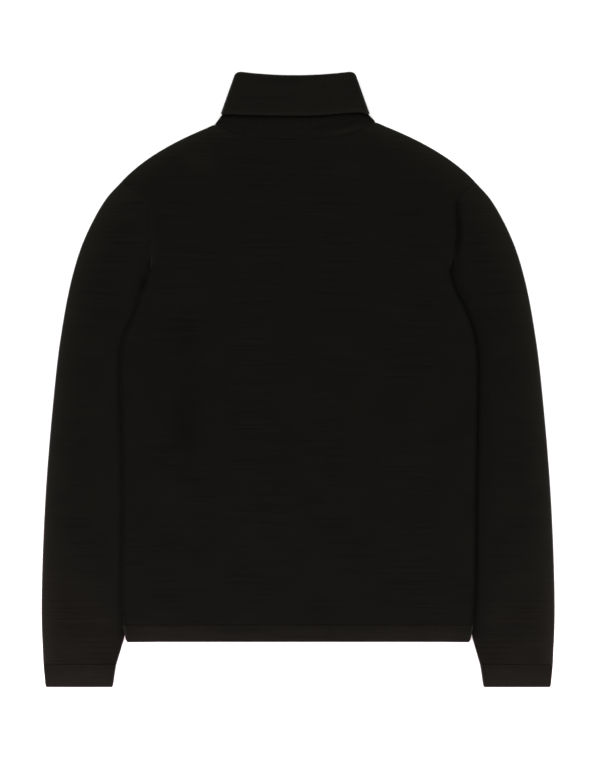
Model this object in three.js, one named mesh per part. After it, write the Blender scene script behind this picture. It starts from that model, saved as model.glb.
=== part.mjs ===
// A roll-neck sweater in fine knit, lying flat with its back up and its sleeves straight down.
// Millimetres. X runs across the body, Y from the hem up to the collar, Z up from the surface.
// The origin is on the surface, under the middle of the whole sweater.
//
// Each piece is a wall of cloth: a grid of points in the middle of the cloth, moved out by half
// the cloth's thickness to each side. The front panel and the lower layers of the sleeves, collar
// and bands rest on the surface. The inner part of each sleeve is tucked under the body's side,
// so the panels climb over it.

import * as THREE from "three";

// Cloth.
const seamInset = 0.2; // each piece stops this far short of the seam line
const foldInset = 0.3; // and this far short of the middle of a fold that holds a seam
const jersey = 2.0;
const collarRib = 2.4;
const bandRib = 2.6;
const innerGap = 1.2; // air between the two panels
const sleeveGap = 0.9; // air inside a sleeve
const pressedGap = 0.4; // air inside a sleeve where the body presses its hidden corner
const bandGap = 0.7; // air inside the cuffs and the hem band
const collarGap = 0.35; // air between the stand and the part turned down over it
const collarStandGap = 0.6; // air inside the stand
const collarSeamGap = 0.9; // air inside the stand at the neck seam

// Heights along Y.
const hemLine = -320;
const hemEnd = -340;
const cuffLine = -371;
const cuffEnd = -399.6;
const neckPointY = 335;
const backNeckY = 312;
const frontNeckY = 288;

// Half-widths along X.
const hemTop = 227;
const shoulderTip = { x: 230, y: 256 };
const neckHalf = 100;
const collarShift = -3.8; // the neck lies this far to one side of the body's middle

// How sharply the neck seam turns up at its ends, and where the shoulder's curve heads for.
const neckBow = { back: 2.8, front: 2.4 };
const shoulderStart = { x: 92, y: neckPointY + 3.4 };
const shoulderBend = { x: 173, y: 311 };

// Where the visible armhole seam ends and the sleeve goes under the body.
const tuck = { x: 196, y: 142 };
const tuckRamp = 38; // width over which the panels climb onto the sleeve
const tuckFade = { from: 148, to: 182 }; // y over which they come down again along the armhole
const tuckLift = 5.35;

// One side of the body, from the hem up to the tuck.
const bodySide = [
  { x: hemTop, y: hemLine },
  { x: 229.5, y: -275 },
  { x: 230.5, y: -157 },
  { x: 232, y: -65 },
  { x: 232.4, y: 30 },
  { x: 227, y: 64 },
  { x: 214, y: 97 },
  { x: 202.5, y: 119 },
  { ...tuck },
];

// The armhole seam in straight stretches, from the tuck up to the shoulder tip.
const armhole = [
  { ...tuck },
  { x: 197.6, y: 166 },
  { x: 198.9, y: 190 },
  { x: 200.2, y: 214 },
  { x: 208.5, y: 236.5 },
  { ...shoulderTip },
];

// The sleeve's edge under the body, from the tuck to its hidden underarm corner.
const hiddenCap = [
  { ...tuck },
  { x: 195, y: 115 },
  { x: 187, y: 88 },
  { x: 170, y: 66 },
  { x: 148, y: 56 },
];

// The sleeve's inner fold, from that corner to the cuff. It shows only below the hem.
const sleeveInner = [
  { x: 148, y: 56 },
  { x: 147.5, y: 10 },
  { x: 153, y: -35 },
  { x: 167, y: -90 },
  { x: 226, y: -334 },
  { x: 236.5, y: cuffLine },
];

// The sleeve's outer fold, from the shoulder tip to the cuff.
const sleeveOuter = [
  { ...shoulderTip },
  { x: 251, y: 232 },
  { x: 278, y: 181 },
  { x: 294.5, y: 129 },
  { x: 309, y: 51 },
  { x: 318, y: -27 },
  { x: 328.5, y: -157 },
  { x: 333.4, y: -300 },
  { x: 331, y: cuffLine },
];

// The cuff's two folds, at each ring down to its end.
const cuffRings = [
  { y: cuffLine - seamInset, inner: 236.5, outer: 331 },
  { y: -385, inner: 238.8, outer: 329.6 },
  { y: -397, inner: 240.4, outer: 328.4 },
  { y: cuffEnd, inner: 243.5, outer: 325.5 },
];

// The hem band's half-width at each ring down to its end.
const hemRings = [
  { y: hemLine - seamInset, half: hemTop },
  { y: -336, half: 226.4 },
  { y: hemEnd, half: 223 },
];

// The collar: levels at its middle (back and front) and at its two side folds.
const collarFold = { back: 394.4, front: 380, side: 399.6, half: 82 };
const collarEdge = { back: 342, front: 329, side: 344, half: 96 };

// Over which the panels' edges turn from a plain seam to a fold: a share of the side past the
// tuck, and a width past the neck point.
const sideFoldFade = 0.04;
const shoulderFoldFade = 12;

// A sleeve's air shrinks away from the armhole, over this share of its length, and its hidden
// corner is pressed over this one.
const sleeveSettle = 0.15;
const pressedReach = 0.12;

// Where the panels have climbed all the way up, a little inside the hidden sleeve's edge.
const climbed = [
  { x: 184, y: 172 },
  { x: 176, y: 120 },
  { x: 158, y: 88 },
  { x: 138, y: 56 },
  { x: 135, y: 10 },
  { x: 148, y: -60 },
  { x: 213, y: hemLine },
  { x: 217, y: hemEnd },
];

// Grid stations.
const foldAngles = [Math.PI / 4, Math.PI / 2, (3 * Math.PI) / 4];
const neckStations = [0, 0.2, 0.4, 0.6, 0.8, 1];
const neckColumn = 0.5; // the panel column that runs to the neck point, as a share of the half
const outerColumns = [0.57, 0.64, 0.71, 0.78, 0.85, 0.92, 1];
const bodyRows = [0, 0.09, 0.22, 0.36, 0.5, 0.64, 0.75, 0.84, 0.9, 0.95];
const cuffShares = [0, 1 / 6, 1 / 3, 1 / 2, 2 / 3, 5 / 6, 1];
const hemHalfShares = [0, 0.4, 0.8, 0.86, 0.92, 0.965, 1];
const sleeveRows = [0, 0.03, 0.07, 0.12, 0.18, 0.25, 0.33, 0.42, 0.52, 0.63, 0.75, 0.88, 1];

const { lerp, smoothstep } = THREE.MathUtils;

// A smooth plan curve through rows of x and y, mirrored by side.
function curveThrough(rows, side = 1) {
  const points = rows.map(({ x, y }) => new THREE.Vector3(side * x, y, 0));
  return new THREE.CatmullRomCurve3(points, false, "centripetal");
}

// A line through rows of x and y in straight stretches, as a function of 0 to 1 by length.
function straightThrough(rows, side = 1) {
  const points = rows.map(({ x, y }) => new THREE.Vector3(side * x, y, 0));
  const reached = [0];
  for (let index = 1; index < points.length; index += 1) {
    reached.push(reached[index - 1] + points[index].distanceTo(points[index - 1]));
  }
  const length = reached.at(-1);
  const getPointAt = (share) => {
    const next = Math.max(1, reached.findIndex((distance) => distance >= share * length - 1e-6));
    const from = reached[next - 1];
    const within = (share * length - from) / (reached[next] - from);
    return points[next - 1].clone().lerp(points[next], within);
  };
  return { getPointAt, getLength: () => length, shares: reached.map((distance) => distance / length) };
}

// Two curves end to end, as one function of 0 to 1 by length.
function joinedCurves(first, second) {
  const split = first.getLength() / (first.getLength() + second.getLength());
  const at = (t) =>
    t < split ? first.getPointAt(t / split) : second.getPointAt((t - split) / (1 - split));
  return { at, split };
}

// A plan patch between four edges, each a function of 0 to 1.
function patchBetween(bottom, top, left, right) {
  const corners = [bottom(0), bottom(1), top(0), top(1)];
  return (u, v) => {
    const point = bottom(u).multiplyScalar(1 - v);
    point.addScaledVector(top(u), v);
    point.addScaledVector(left(v), 1 - u);
    point.addScaledVector(right(v), u);
    point.addScaledVector(corners[0], -(1 - u) * (1 - v));
    point.addScaledVector(corners[1], -u * (1 - v));
    point.addScaledVector(corners[2], -(1 - u) * v);
    point.addScaledVector(corners[3], -u * v);
    return point;
  };
}

// The steps from the grid point before to one point, and from it to the next, where they exist.
function steps(before, here, after) {
  return [before && here.clone().sub(before), after && after.clone().sub(here)].filter(Boolean);
}

// The normal at a grid point: the mean of those of the faces round it.
function meanNormal(acrossSteps, alongSteps) {
  const normal = new THREE.Vector3();
  for (const across of acrossSteps) {
    for (const along of alongSteps) {
      normal.add(across.clone().cross(along).normalize());
    }
  }
  return normal;
}

// A closed wall of cloth on a grid of middle points, grid[row][column]. With ring set, each
// row closes on itself. The rows in squareRows keep to their own y, so that their ends are square.
function clothWall(grid, thickness, ring, squareRows) {
  const rows = grid.length;
  const columns = grid[0].length;
  const at = (row, column) => {
    const wrapped = ring ? (column + columns) % columns : column;
    return grid[row]?.[wrapped];
  };
  const positions = [];
  for (const side of [1, -1]) {
    for (let row = 0; row < rows; row += 1) {
      for (let column = 0; column < columns; column += 1) {
        const here = at(row, column);
        const across = steps(at(row, column - 1), here, at(row, column + 1));
        const along = steps(at(row - 1, column), here, at(row + 1, column));
        const normal = meanNormal(across, along);
        if (squareRows.includes(row)) {
          normal.y = 0;
        }
        normal.normalize();
        const point = here.clone().addScaledVector(normal, (side * thickness) / 2);
        positions.push(point.x, point.y, point.z);
      }
    }
  }
  const outer = (row, column) => row * columns + (column % columns);
  const inner = (row, column) => rows * columns + outer(row, column);
  const triangles = [];
  const quad = (a, b, c, d) => triangles.push(a, b, c, a, c, d);
  const spans = ring ? columns : columns - 1;
  for (let row = 0; row < rows - 1; row += 1) {
    for (let column = 0; column < spans; column += 1) {
      const next = column + 1;
      quad(outer(row, column), outer(row, next), outer(row + 1, next), outer(row + 1, column));
      quad(inner(row, column), inner(row + 1, column), inner(row + 1, next), inner(row, next));
    }
  }
  const last = rows - 1;
  for (let column = 0; column < spans; column += 1) {
    const next = column + 1;
    quad(inner(0, column), inner(0, next), outer(0, next), outer(0, column));
    quad(outer(last, column), outer(last, next), inner(last, next), inner(last, column));
  }
  if (!ring) {
    const end = columns - 1;
    for (let row = 0; row < last; row += 1) {
      quad(outer(row, 0), outer(row + 1, 0), inner(row + 1, 0), inner(row, 0));
      quad(inner(row, end), inner(row + 1, end), outer(row + 1, end), outer(row, end));
    }
  }
  const geometry = new THREE.BufferGeometry();
  geometry.setAttribute("position", new THREE.Float32BufferAttribute(positions, 3));
  geometry.setIndex(triangles);
  geometry.computeVertexNormals();
  return geometry;
}

// The stations round a flattened tube: its upper layer, a fold, its lower layer, a fold.
// level is 1 in the upper layer, -1 in the lower one and between them in a fold. A flat
// station has its share of the way across, from 0 to 1, and a fold station its reach past the
// fold's centre.
function flatTubeStations(shares) {
  const upper = shares.map((share) => ({ share, level: 1 }));
  const lower = shares.toReversed().map((share) => ({ share, level: -1 }));
  const foldAt = (end, angles) =>
    angles.map((angle) => ({ end, reach: Math.sin(angle), level: Math.cos(angle) }));
  return [
    ...upper,
    ...foldAt(1, foldAngles),
    ...lower,
    ...foldAt(0, foldAngles.toReversed()),
  ];
}

// Shares of a whole width, from those of its half, which run from the middle out.
function mirroredShares(half) {
  return [
    ...half.toReversed().map((share) => 0.5 - share / 2),
    ...half.slice(1).map((share) => 0.5 + share / 2),
  ];
}

// How many millimetres in from its edge a patch moves for a whole unit of u (or of v), at a
// point of that edge.
function reachPerUnit(plan, u, v, alongU) {
  const step = 0.004;
  const inward = (share) => (share > 0.5 ? -step : step);
  const here = plan(u, v);
  const acrossU = plan(u + inward(u), v).sub(here);
  const acrossV = plan(u, v + inward(v)).sub(here);
  const edgeLength = alongU ? acrossV.length() : acrossU.length();
  return acrossU.cross(acrossV).length() / edgeLength / step;
}

// Where a station of a flattened tube lies between its two outer folds, from 0 to 1.
function stationAcross(station, radius, thickness, widthAtStart, widthAtEnd) {
  const start = (radius + thickness / 2) / widthAtStart;
  const end = (radius + thickness / 2) / widthAtEnd;
  if (station.end === 0) {
    return start - (radius * station.reach) / widthAtStart;
  }
  if (station.end === 1) {
    return 1 - end + (radius * station.reach) / widthAtEnd;
  }
  return THREE.MathUtils.clamp(station.share, start, 1 - end);
}

// A value between the rows of a table that runs down in y.
function climbedAt(y) {
  const next = Math.max(1, climbed.findIndex((row) => row.y <= y));
  const above = climbed[next - 1];
  const below = climbed[next];
  const share = Math.max(0, (above.y - y) / (above.y - below.y));
  return lerp(above.x, below.x, share);
}

// How high the underside of the body stands over the surface.
function bodyLift(x, y) {
  const full = climbedAt(Math.max(y, hemEnd));
  const over = smoothstep(Math.abs(x), full - tuckRamp, full);
  const fade = 1 - smoothstep(y, tuckFade.from, tuckFade.to);
  return tuckLift * over * fade;
}

// The shoulder, and the neck seam in straight stretches between its stations, at an x.
const shoulder = new THREE.QuadraticBezierCurve(
  new THREE.Vector2(shoulderStart.x, shoulderStart.y),
  new THREE.Vector2(shoulderBend.x, shoulderBend.y),
  new THREE.Vector2(shoulderTip.x, shoulderTip.y),
);

function shoulderAt(x) {
  const points = shoulder.getPoints(80);
  const next = Math.max(1, points.findIndex((point) => point.x >= Math.abs(x) - 1e-9));
  const near = points[next - 1];
  const far = points[next];
  return lerp(near.y, far.y, (Math.abs(x) - near.x) / (far.x - near.x));
}

function neckSeamAt(x, middleY, power) {
  const side = Math.sign(x - collarShift) || 1;
  const neckPoint = shoulderAt(collarShift + side * neckHalf);
  const share = Math.min(1, Math.abs(x - collarShift) / neckHalf);
  const next = Math.max(1, neckStations.findIndex((station) => station >= share - 1e-9));
  const from = neckStations[next - 1];
  const to = neckStations[next];
  const rise = lerp(from ** power, to ** power, (share - from) / (to - from));
  return lerp(middleY, neckPoint, rise);
}

const backNeckAt = (x) => neckSeamAt(x, backNeckY, neckBow.back);
const frontNeckAt = (x) => neckSeamAt(x, frontNeckY, neckBow.front);

// A body panel. face is 1 for the back, on top, and -1 for the front, on the surface.
function bodyPanel(face, neckAt) {
  const radius = (jersey + innerGap) / 2;
  const right = joinedCurves(curveThrough(bodySide), straightThrough(armhole));
  const left = joinedCurves(curveThrough(bodySide, -1), straightThrough(armhole, -1));
  const hem = (u) => new THREE.Vector3(lerp(-hemTop, hemTop, u), hemLine, 0);
  const top = (u) => {
    const share = Math.abs(2 * u - 1);
    const side = Math.sign(2 * u - 1);
    if (share <= neckColumn) {
      const x = collarShift + (side * neckHalf * share) / neckColumn;
      return new THREE.Vector3(x, neckAt(x), 0);
    }
    const neckPoint = collarShift + side * neckHalf;
    const x = lerp(neckPoint, side * shoulderTip.x, (share - neckColumn) / (1 - neckColumn));
    return new THREE.Vector3(x, shoulderAt(x), 0);
  };
  const plan = patchBetween(hem, top, left.at, right.at);

  // Insets from an edge and levels at the last stations: turned down to meet the other panel at
  // a fold, or plain at a seam.
  const turned = [
    { inset: radius, level: 1 },
    { inset: 0.36 * radius, level: 0.77 },
    { inset: 0, level: 0.36 },
    { inset: 0, level: foldInset / radius },
  ];
  const plainInsets = [jersey / 2 + radius, 1.6, 0.8, seamInset];
  const edgeStation = (index, fold) => ({
    inset: lerp(plainInsets[index], jersey / 2 + turned[index].inset, fold),
    level: lerp(1, turned[index].level, fold),
  });

  const halfColumns = [...neckStations.map((station) => station * neckColumn), ...outerColumns];
  const columns = [
    ...[3, 2, 1].map((index) => ({ end: 0, index })),
    ...mirroredShares(halfColumns).map((share) => ({ share })),
    ...[1, 2, 3].map((index) => ({ end: 1, index })),
  ];
  const armholeShares = straightThrough(armhole).shares.slice(0, -1);
  const rows = [
    ...bodyRows.map((share) => ({ v: share * right.split })),
    ...armholeShares.map((share) => ({ v: lerp(right.split, 1, share) })),
    ...[0, 1, 2, 3].map((index) => ({ v: 1, index })),
  ];
  const hemStart = seamInset / (backNeckY - hemLine);

  const grid = rows.map((row) =>
    columns.map((column) => {
      const sideFold = 1 - smoothstep(row.v, right.split, right.split + sideFoldFade);
      const sideAt = (end, index) => {
        const { inset, level } = edgeStation(index, sideFold);
        const share = inset / reachPerUnit(plan, end, row.v, true);
        return { u: end === 0 ? share : 1 - share, level };
      };
      const across =
        column.index === undefined
          ? { u: THREE.MathUtils.clamp(column.share, sideAt(0, 0).u, sideAt(1, 0).u), level: 1 }
          : sideAt(column.end, column.index);
      const topX = top(across.u).x;
      const fromNeck = Math.abs(topX - collarShift) - neckHalf;
      const topFold = smoothstep(fromNeck, 0, shoulderFoldFade);
      const topAt = (index) => {
        const { inset, level } = edgeStation(index, topFold);
        return { v: 1 - inset / reachPerUnit(plan, across.u, 1, false), level };
      };
      const along =
        row.index === undefined ? { v: Math.max(hemStart, row.v), level: 1 } : topAt(row.index);
      const point = plan(across.u, along.v);
      const level = Math.min(across.level, along.level);
      point.z = bodyLift(point.x, point.y) + jersey / 2 + radius * (1 + face * level);
      return point;
    }),
  );
  return clothWall(grid, jersey, false, [0]);
}

// A sleeve: a flattened tube from the armhole to the cuff.
function sleeve(side) {
  const seam = straightThrough(armhole.toReversed(), side);
  const head = joinedCurves(seam, curveThrough(hiddenCap, side));
  const outerEdge = curveThrough(sleeveOuter, side);
  const innerEdge = curveThrough(sleeveInner, side);
  const cuffSeam = (w) => outerEdge.getPointAt(1).lerp(innerEdge.getPointAt(1), w);
  const plan = patchBetween(
    head.at,
    cuffSeam,
    (s) => outerEdge.getPointAt(s),
    (s) => innerEdge.getPointAt(s),
  );
  const seamShares = seam.shares.map((share) => share * head.split);
  const hiddenShares = [1 / 3, 2 / 3, 1].map((share) => lerp(head.split, 1, share));
  const stations = flatTubeStations([...seamShares, ...hiddenShares]);
  const cuffSeamEnd = seamInset / outerEdge.getLength();
  const grid = sleeveRows.map((row) =>
    stations.map((station) => {
      const rough = station.share ?? station.end;
      const seamStart = seamInset / reachPerUnit(plan, rough, 0, false);
      const s = lerp(seamStart, 1 - cuffSeamEnd, row);
      const openRadius = (jersey + lerp(innerGap, sleeveGap, smoothstep(s, 0, sleeveSettle))) / 2;
      const pressedRadius = (jersey + pressedGap) / 2;
      const pressed = smoothstep(rough, head.split - 0.1, 0.85) * (1 - smoothstep(s, 0, pressedReach));
      const radius = lerp(openRadius, pressedRadius, pressed);
      const widthAtStart = reachPerUnit(plan, 0, s, true);
      const widthAtEnd = reachPerUnit(plan, 1, s, true);
      const w = stationAcross(station, radius, jersey, widthAtStart, widthAtEnd);
      const point = plan(w, s);
      point.z = jersey / 2 + radius * (1 + station.level);
      return point;
    }),
  );
  return clothWall(grid, jersey, true, [sleeveRows.length - 1]);
}

// A band of rib in rings between two folds. lift gives the height of its underside.
function ribBand(rings, stations, lift) {
  const radius = (bandRib + bandGap) / 2;
  const grid = rings.map(({ y, from, to }) =>
    stations.map((station) => {
      const width = Math.abs(to - from);
      const w = stationAcross(station, radius, bandRib, width, width);
      const x = lerp(from, to, w);
      return new THREE.Vector3(x, y, lift(x, y) + bandRib / 2 + radius * (1 + station.level));
    }),
  );
  return clothWall(grid, bandRib, true, [...rings.keys()]);
}

function cuff(side) {
  const rings = cuffRings.map(({ y, inner, outer }) => ({ y, from: side * outer, to: side * inner }));
  return ribBand(rings, flatTubeStations(cuffShares), () => 0);
}

function hemBand() {
  const rings = hemRings.map(({ y, half }) => ({ y, from: -half, to: half }));
  return ribBand(rings, flatTubeStations(mirroredShares(hemHalfShares)), bodyLift);
}

// The collar: a tube of rib that stands on the neck seam, turns out at the fold and comes down
// outside itself. Each ring has a half-width, a spacing of its two layers, a middle height and
// its y on the back and on the front at a share of the way from the middle to a side.
function collar() {
  const standRadius = (collarRib + collarStandGap) / 2;
  const turnRadius = (collarRib + collarGap) / 2;
  const flapRadius = standRadius + 2 * turnRadius;
  const raisedMiddle = collarRib / 2 + flapRadius;
  const seamRadius = (collarRib + collarSeamGap) / 2;
  const seamMiddle = collarRib / 2 + seamRadius;
  const bowed = (middle, end) => (q) => lerp(middle, end, q * q);

  const foldY = (inset) => ({
    yBack: bowed(collarFold.back - inset, collarFold.side - inset),
    yFront: bowed(collarFold.front - inset, collarFold.side - inset),
  });
  // A level part of the way from the free edge (0) up to the start of the fold (1).
  const turnInset = collarRib / 2 + turnRadius;
  const levelAt = (share) => {
    const top = foldY(turnInset);
    return {
      yBack: (q) => lerp(bowed(collarEdge.back, collarEdge.side)(q), top.yBack(q), share),
      yFront: (q) => lerp(bowed(collarEdge.front, collarEdge.side)(q), top.yFront(q), share),
    };
  };
  const flapHalf = (share) => lerp(collarEdge.half, collarFold.half, share) - collarRib / 2;
  const standHalf = (share) => flapHalf(share) - 2 * turnRadius;
  const raised = { middle: raisedMiddle };
  const across = (q) => collarShift + q * neckHalf;
  const lowSeam = { middle: seamMiddle, radius: seamRadius };
  const rings = [
    {
      ...lowSeam,
      half: neckHalf - collarRib / 2,
      yBack: (q) => backNeckAt(across(q)) + seamInset,
      yFront: (q) => frontNeckAt(across(q)) + seamInset,
    },
    {
      ...lowSeam,
      half: neckHalf - collarRib / 2 - 2.2,
      yBack: (q) => backNeckAt(across(q)) + lerp(8, 3, q * q),
      yFront: (q) => backNeckAt(across(q)) + 3,
    },
    { ...raised, radius: standRadius, half: standHalf(0), ...levelAt(0) },
    { ...raised, radius: standRadius, half: standHalf(0.5), ...levelAt(0.5) },
  ];
  for (const turn of [0, 0.25, 0.5, 0.75, 1]) {
    const out = turnRadius * (1 - Math.cos(turn * Math.PI));
    rings.push({
      ...raised,
      radius: standRadius + out,
      half: standHalf(1) + out,
      ...foldY(turnInset - turnRadius * Math.sin(turn * Math.PI)),
    });
  }
  for (const share of [0.5, 0]) {
    rings.push({ ...raised, radius: flapRadius, half: flapHalf(share), ...levelAt(share) });
  }

  const stations = flatTubeStations(mirroredShares(neckStations));
  const grid = rings.map((ring) =>
    stations.map((station) => {
      const width = 2 * (ring.half + collarRib / 2);
      const w = stationAcross(station, ring.radius, collarRib, width, width);
      const x = lerp(-width / 2, width / 2, w);
      const q = Math.min(1, Math.abs(x) / ring.half) * Math.sign(x);
      const y = lerp(ring.yFront(q), ring.yBack(q), (1 + station.level) / 2);
      return new THREE.Vector3(collarShift + x, y, ring.middle + ring.radius * station.level);
    }),
  );
  return clothWall(grid, collarRib, true, []);
}

// The scene graph.
const group = new THREE.Group();
const knitColour = 0x141414;
const ribColour = 0x171616;

function addPiece(name, geometry, color) {
  const material = new THREE.MeshStandardMaterial({ color, roughness: 0.95, metalness: 0 });
  const mesh = new THREE.Mesh(geometry, material);
  mesh.name = name;
  group.add(mesh);
}

addPiece("front_panel", bodyPanel(-1, frontNeckAt), knitColour);
addPiece("back_panel", bodyPanel(1, backNeckAt), knitColour);
addPiece("sleeve_left", sleeve(-1), knitColour);
addPiece("sleeve_right", sleeve(1), knitColour);
addPiece("cuff_left", cuff(-1), ribColour);
addPiece("cuff_right", cuff(1), ribColour);
addPiece("hem_band", hemBand(), ribColour);
addPiece("collar", collar(), ribColour);

export default group;
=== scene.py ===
"""A roll-neck sweater in fine black knit, laid flat on its front with its sleeves straight down.

Each piece is a sheet of knit: a fine grid, moved to its place in plan and in height, and then
given its thickness. The tables and the working are in millimetres, the meshes in metres.
X runs across the body, Y from the hem up to the collar and Z up from the surface.
"""

import bisect
import math

import bmesh
import bpy
from bpy.props import FloatProperty, FloatVectorProperty, IntProperty, PointerProperty
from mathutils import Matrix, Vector, kdtree, noise


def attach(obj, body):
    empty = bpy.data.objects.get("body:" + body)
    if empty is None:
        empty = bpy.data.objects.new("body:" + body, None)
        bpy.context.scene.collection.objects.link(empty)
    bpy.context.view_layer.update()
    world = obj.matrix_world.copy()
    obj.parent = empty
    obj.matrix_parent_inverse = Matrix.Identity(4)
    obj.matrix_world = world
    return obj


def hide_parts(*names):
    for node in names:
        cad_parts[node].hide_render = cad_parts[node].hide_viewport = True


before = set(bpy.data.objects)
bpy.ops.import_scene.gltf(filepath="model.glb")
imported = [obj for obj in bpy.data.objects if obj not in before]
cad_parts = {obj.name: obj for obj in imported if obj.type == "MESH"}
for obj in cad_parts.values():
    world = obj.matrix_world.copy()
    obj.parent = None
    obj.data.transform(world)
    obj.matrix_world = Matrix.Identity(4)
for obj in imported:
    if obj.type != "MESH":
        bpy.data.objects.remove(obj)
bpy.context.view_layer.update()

bl_info = {
    "name": "Roll-neck sweater",
    "version": (1, 0, 0),
    "blender": (4, 5, 0),
    "location": "3D View > Sidebar > Sweater",
    "description": "Knits a roll-neck sweater laid flat, piece by piece, and sets its stage",
    "category": "Object",
}

MM = 0.001

# ---------------------------------------------------------------------------- cut of the pieces
# For the right-hand side in plan; the left-hand side is its mirror.

HEM_LINE = -320.0
HEM_END = -341.3
CUFF_LINE = -371.0
CUFF_END = -400.0
NECK_POINT_Y = 335.0
BACK_NECK_Y = 312.0
FRONT_NECK_Y = 288.0
HEM_HALF = 227.0
NECK_HALF = 104.5
COLLAR_SHIFT = -3.8  # the neck lies this far to one side
SHOULDER_TIP = (230.0, 256.0)
TUCK = (196.0, 142.0)  # where the armhole seam goes in under the body's side

# The neck seam turns up at its ends by these powers of the way across.
BACK_NECK_BOW = 2.8
FRONT_NECK_BOW = 2.4

# The shoulder's start, the point it heads for, and its end.
SHOULDER = ((92.0, NECK_POINT_Y + 1.4), (188.0, 302.0), SHOULDER_TIP)

BODY_SIDE = [
    (HEM_HALF, HEM_LINE),
    (229.5, -275),
    (230.5, -157),
    (232, -65),
    (232.4, 30),
    (227, 64),
    (214, 97),
    (202.5, 119),
    TUCK,
]

ARMHOLE = [TUCK, (197.6, 166), (198.9, 190), (200.2, 214), (208.5, 236.5), SHOULDER_TIP]

# The sleeve's edge under the body, and its inner fold, which shows only below the hem.
HIDDEN_CAP = [TUCK, (195, 115), (187, 88), (170, 66), (148, 56)]
SLEEVE_INNER = [
    (148, 56),
    (147.5, 10),
    (153, -35),
    (167, -90),
    (226, -334),
    (236.5, CUFF_LINE),
]

SLEEVE_OUTER = [
    SHOULDER_TIP,
    (251, 232),
    (278, 181),
    (294.5, 129),
    (309, 51),
    (318, -27),
    (328.5, -157),
    (333.4, -300),
    (331, CUFF_LINE),
]

# Levels down a band, and its inner and outer folds there.
CUFF_RINGS = [
    (CUFF_LINE, 236.5, 331.0),
    (-385.0, 238.8, 329.6),
    (-397.5, 240.3, 328.5),
    (CUFF_END, 241.5, 327.2),
]
HEM_RINGS = [
    (HEM_LINE, -HEM_HALF, HEM_HALF),
    (-332.0, -225.0, 225.0),
    (-338.0, -223.8, 223.8),
    (HEM_END, -221.5, 221.5),
]

# The collar: its levels at the middle, back and front, and at its side folds.
COLLAR_FOLD = {"back": 394.4, "front": 380.0, "side": 399.8, "half": 79.6}
COLLAR_EDGE = {"back": 342.0, "front": 329.0, "side": 344.0, "half": 96.9}

# The body climbs over the tucked sleeves, and is all the way up along this line.
CLIMBED = [
    (184, 172),
    (176, 120),
    (158, 88),
    (138, 56),
    (135, 10),
    (148, -60),
    (213, HEM_LINE),
    (217, HEM_END),
]
TUCK_LIFT = 5.35
TUCK_RAMP = 38.0
TUCK_FADE = (148.0, 182.0)
BRIDGED = 2.8  # the top layer climbs over this many times the lower one's ramp

# How far the body's top layer is pressed down at its folds.
PRESSED = 1.0

# --------------------------------------------------------------------------------- soft creases
# Start, middle, end, width and height. A height below zero is a trough.

UPPER_CREASES = [
    ((-150, 122), (-137, -10), (-152, -175), 17, -0.8),
    ((-96, 187), (0, 177), (72, 191), 12, 0.6),
    ((-104, 64), (-24, 55), (62, 71), 10, -0.6),
    ((22, 6), (96, -14), (178, -4), 10, -0.6),
    ((-128, -148), (-60, -139), (24, -152), 11, -0.5),
    ((58, -188), (126, -203), (196, -186), 10, -0.5),
    ((-158, 268), (-112, 280), (-58, 262), 15, 0.9),
    ((30, 280), (66, 268), (104, 276), 13, 0.8),
    ((196, 120), (168, 92), (112, 96), 8, 0.9),
    ((206, 92), (172, 58), (138, 42), 9, 0.7),
    ((-192, 108), (-158, 80), (-112, 84), 8, 0.8),
    ((-206, 80), (-180, 44), (-150, 6), 9, 0.7),
    ((190, 190), (160, 214), (118, 224), 10, 0.6),
    ((204, 246), (202, 196), (199, 146), 3.0, -1.2),
    ((-188, 206), (-160, 176), (-150, 128), 9, -0.7),
    ((-103, 312), (-86, 300), (-58, 296), 7, -0.9),
    ((95, 324), (84, 308), (60, 300), 6, -1.2),
    ((-122, -318), (-117, -282), (-127, -236), 9, 0.5),
    ((-20, -318), (-14, -290), (-22, -262), 10, -0.4),
    ((62, -318), (66, -268), (57, -226), 10, 0.5),
    ((152, -318), (146, -286), (152, -248), 9, -0.5),
    ((208, -60), (196, -120), (204, -190), 8, 0.6),
    ((-209, -20), (-198, -96), (-206, -170), 8, 0.5),
    ((-262, 214), (-243, 186), (-216, 176), 8, -0.8),
    ((-283, 140), (-258, 112), (-226, 104), 9, -0.8),
    ((-300, 58), (-276, 30), (-246, 34), 8, 0.8),
    ((-314, -18), (-288, -38), (-250, -24), 8, -0.7),
    ((-320, -112), (-290, -128), (-258, -116), 10, 0.6),
    ((-328, -224), (-300, -242), (-262, -226), 9, -0.6),
    ((-304, -318), (-299, -346), (-303, -368), 7, 0.6),
    ((-266, -326), (-270, -350), (-268, -368), 6, -0.5),
    ((266, 206), (244, 184), (214, 188), 8, 0.7),
    ((288, 122), (262, 104), (232, 112), 8, -0.8),
    ((303, 40), (276, 22), (250, 36), 9, -0.7),
    ((318, -46), (292, -66), (252, -52), 8, 0.7),
    ((324, -138), (296, -152), (260, -134), 9, -0.6),
    ((330, -244), (302, -256), (264, -240), 8, 0.6),
    ((306, -322), (300, -348), (304, -368), 6, -0.5),
    ((270, -316), (274, -344), (272, -368), 7, 0.6),
]

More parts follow.
